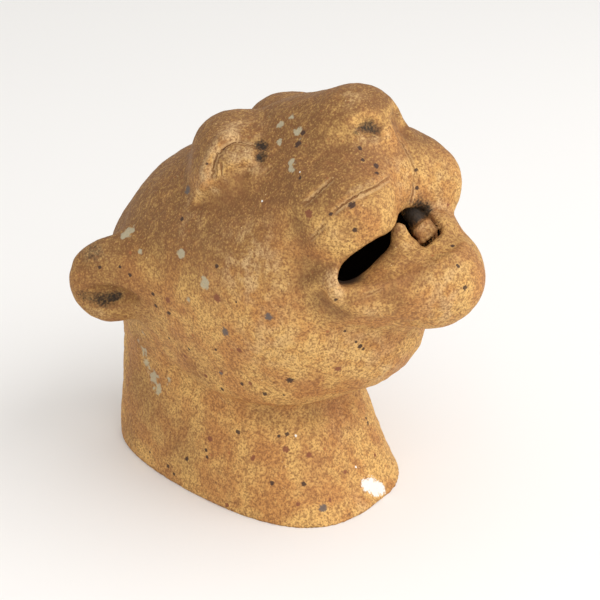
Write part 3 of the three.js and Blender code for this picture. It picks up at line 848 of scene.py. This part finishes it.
def grains(size, share, radius):
    """Round grains: the share given of the cells of the size given holds one."""
    cells = nodes.new("ShaderNodeTexVoronoi")
    cells.inputs["Scale"].default_value = 1 / (size * mm)
    links.new(place, cells.inputs["Vector"])
    chance = nodes.new("ShaderNodeSeparateColor")
    links.new(cells.outputs["Color"], chance.inputs[0])
    smallest, core = 0.4, 0.55
    width = reckon("MULTIPLY_ADD", chance.outputs[1], 1 - smallest, smallest)
    from_grain = reckon("DIVIDE", cells.outputs["Distance"], width)
    rim = ramp(from_grain, radius / size, core * radius / size)
    return times(rim, reckon("LESS_THAN", chance.outputs[0], share))


def kept(name):
    source = nodes.new("ShaderNodeAttribute")
    source.attribute_name = name
    return source.outputs


def painted(under, over, strength):
    mix = nodes.new("ShaderNodeMix")
    mix.data_type = "RGBA"
    put(strength, mix.inputs[0])
    put(under, mix.inputs[6])
    put(over, mix.inputs[7])
    return mix.outputs[2]


yellow_ochre = (0.77, 0.462, 0.150)
orange_ochre = (0.57, 0.27, 0.080)
red_brown = (0.36, 0.125, 0.042)
# Weathered brown, laid also as painted shade where the dull stains paint shadow.
weathered_and_shade_brown = (0.200, 0.096, 0.031)
# Pale clay, laid also as painted highlight.
pale_clay_and_highlight = (0.75, 0.51, 0.25)
lichen_grey = (0.47, 0.44, 0.31)
# A dark brown laid as painted shade in the hollows, the tooled grooves and the needle lines, and also
# as the clay's darker grit.
dark_grit_and_shade = (0.20, 0.082, 0.030)
speck_brown = (0.150, 0.062, 0.026)
# Near black, for soot and for painted shadow in the crevices.
soot_and_shadow_black = (0.020, 0.016, 0.012)
# Near black, laid on the inside wall as painted shade.
inner_shade = (0.045, 0.024, 0.013)

mottle = cloud(13, 5)
patches = cloud(5, 4)
blotches = cloud(2.6, 4)
grit = cloud(1.3, 5)
fine_grit = cloud(0.7, 5)
specks = grains(3.3, 0.45, 0.55)

# Weathering, and the painted shadow of the dull stains.
dull_and_shaded = reckon("MAXIMUM", kept("weathered")["Fac"], kept("dull_and_shaded")["Fac"])
# Painted shade: the less open a place is, the darker it is painted.
hollow_shading = ramp(kept("open")["Fac"], 0.92, 0.35)
beside_line = reckon("ABSOLUTE", kept("line_side")["Fac"])
wavering = reckon("MULTIPLY_ADD", fine_grit, 0.35, beside_line)
# The needle lines are darkened as painted shade, and the clay thrown up beside them is painted paler
# as painted highlight.
needle_line = times(ramp(wavering, 1.15, 0.25), kept("line_depth")["Fac"])
thrown_up_highlight = times(ramp(wavering, 1.7, 1.2), ramp(wavering, 0.6, 1.0), kept("line_depth")["Fac"])
growth = reckon("MULTIPLY_ADD", cloud(2.0, 4), 1.1, reckon("SUBTRACT", kept("lichen")["Fac"], 0.55))
# Soot and painted shade in the crevices, broken up by a fine mottle.
grime_and_shade = reckon("MULTIPLY_ADD", cloud(0.8, 4), 1.2, reckon("SUBTRACT", kept("soot_and_shade")["Fac"], 0.6))

from_mark = nodes.new("ShaderNodeVectorMath")
from_mark.operation = "DISTANCE"
links.new(place, from_mark.inputs[0])
links.new(kept("mark_at")["Vector"], from_mark.inputs[1])
from_middle = reckon("DIVIDE", from_mark.outputs["Value"], kept("mark_radius")["Fac"])
mark = ramp(reckon("MULTIPLY_ADD", cloud(0.8, 3), 1.6, from_middle), 1.95, 1.5)

# Each coat has its colour, how strong it is and where it shows, from the lowest to the topmost.
coats = [
    (yellow_ochre, 1, ramp(mottle, 0.38, 0.60)),
    (orange_ochre, 0.55, ramp(patches, 0.52, 0.68)),
    (red_brown, 0.45, ramp(cloud(17, 4), 0.56, 0.74)),
    (red_brown, 0.80, times(kept("red")["Fac"], ramp(patches, 0.30, 0.55))),
    (yellow_ochre, 0.45, ramp(grit, 0.54, 0.72)),
    # weathered brown, and painted shadow under the eye and on the neck's shaded side
    (weathered_and_shade_brown, 1, times(dull_and_shaded, ramp(cloud(8, 4), 0.0, 0.38), ramp(blotches, 1.3, 0.3))),
    (red_brown, 1, times(grains(2.4, 0.40, 0.75), reckon("MULTIPLY_ADD", dull_and_shaded, 0.2, 0.28))),
    (yellow_ochre, 0.42, times(ramp(fine_grit, 0.50, 0.72), dull_and_shaded)),
    # painted shade in the hollows
    (dark_grit_and_shade, 0.75, times(hollow_shading, ramp(patches, 0.25, 0.6))),
    # painted shade in the tooled grooves
    (dark_grit_and_shade, 0.60, times(kept("groove")["Fac"], ramp(blotches, 0.30, 0.55))),
    # pale clay and painted highlights
    (pale_clay_and_highlight, 0.85, times(kept("pale_and_lit")["Fac"], ramp(patches, 0.62, 0.36))),
    # the ridges beside the tooled grooves, painted paler
    (pale_clay_and_highlight, 0.50, times(kept("ridge")["Fac"], ramp(blotches, 0.60, 0.40))),
    (dark_grit_and_shade, 0.58, ramp(grit, 0.56, 0.32)),
    (dark_grit_and_shade, 0.70, ramp(fine_grit, 0.58, 0.32)),
    # painted highlight beside the needle lines
    (pale_clay_and_highlight, 0.35, thrown_up_highlight),
    # painted shade in the needle lines
    (dark_grit_and_shade, 0.70, needle_line),
    (speck_brown, 0.55, grains(1.7, 0.30, 0.34)),
    (speck_brown, 0.70, specks),
    (red_brown, 0.80, grains(8.0, 0.32, 0.95)),
    (pale_clay_and_highlight, 0.90, grains(3.1, 0.26, 0.30)),
    (lichen_grey, 0.72, ramp(growth, 0.42, 0.66)),
    (kept("mark_colour")["Color"], 0.92, mark),
    # soot and painted shade in the crevices
    (soot_and_shadow_black, 0.95, ramp(grime_and_shade, 0.22, 0.95)),
    # painted shade on the inside wall
    (inner_shade, 1, kept("inner")["Fac"]),
]
colour = orange_ochre
for coat, strength, shows in coats:
    colour = painted(colour, coat, times(shows, strength))

bump_depth = 0.45 * mm
relief = reckon("MULTIPLY_ADD", fine_grit, 0.45, grit)
relief = reckon("MULTIPLY_ADD", specks, -0.15, relief)
relief = reckon("MULTIPLY_ADD", needle_line, -1.0, relief)
bumps = nodes.new("ShaderNodeBump")
bumps.inputs["Strength"].default_value = 0.8
bumps.inputs["Distance"].default_value = bump_depth
links.new(relief, bumps.inputs["Height"])

shader = nodes["Principled BSDF"]
links.new(colour, shader.inputs["Base Color"])
links.new(bumps.outputs["Normal"], shader.inputs["Normal"])
links.new(reckon("MULTIPLY_ADD", mottle, 0.3, 0.52), shader.inputs["Roughness"])
shader.inputs["Specular IOR Level"].default_value = 0.25
head.data.materials.append(clay_look)

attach(head, "root")
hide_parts("gargoyle_head")

# The pale table, and soft light from the right and in front.
table_half = 3.0
corners = [(-table_half, -table_half, 0), (table_half, -table_half, 0),
           (table_half, table_half, 0), (-table_half, table_half, 0)]
table_mesh = bpy.data.meshes.new("table")
table_mesh.from_pydata(corners, [], [(0, 1, 2, 3)])
table = bpy.data.objects.new("table", table_mesh)
scene.collection.objects.link(table)
table_look = bpy.data.materials.new("table")
table_look.use_nodes = True
shader = table_look.node_tree.nodes["Principled BSDF"]
shader.inputs["Base Color"].default_value = (0.86, 0.855, 0.85, 1)
shader.inputs["Roughness"].default_value = 0.8
table.data.materials.append(table_look)

world = bpy.data.worlds.new("studio")
world.use_nodes = True
world.node_tree.nodes["Background"].inputs["Color"].default_value = (1.0, 0.985, 0.955, 1)
world.node_tree.nodes["Background"].inputs["Strength"].default_value = 0.78
scene.world = world
scene.view_settings.view_transform = "Standard"

lamp_white = (1, 0.98, 0.97)
lit_middle = Vector((0, 0, 0.08))


def soft_light(name, way, distance, size, power):
    """way is how far the lamp is to the view's right, up from the table, and towards the eye."""
    lamp = bpy.data.lights.new(name, "AREA")
    lamp.size = size
    lamp.energy = power
    lamp.color = lamp_white
    light = bpy.data.objects.new(name, lamp)
    right, up, near = way
    direction = (right * sight_right + Vector((0, 0, up)) + near * sight_back).normalized()
    light.location = lit_middle + direction * distance
    light.rotation_euler = direction.to_track_quat("Z", "Y").to_euler()
    scene.collection.objects.link(light)


soft_light("right_light", way=(1.0, 0.85, 0.30), distance=1.5, size=1.3, power=12)
soft_light("front_light", way=(0.25, 0.35, 1.0), distance=1.6, size=1.2, power=8)
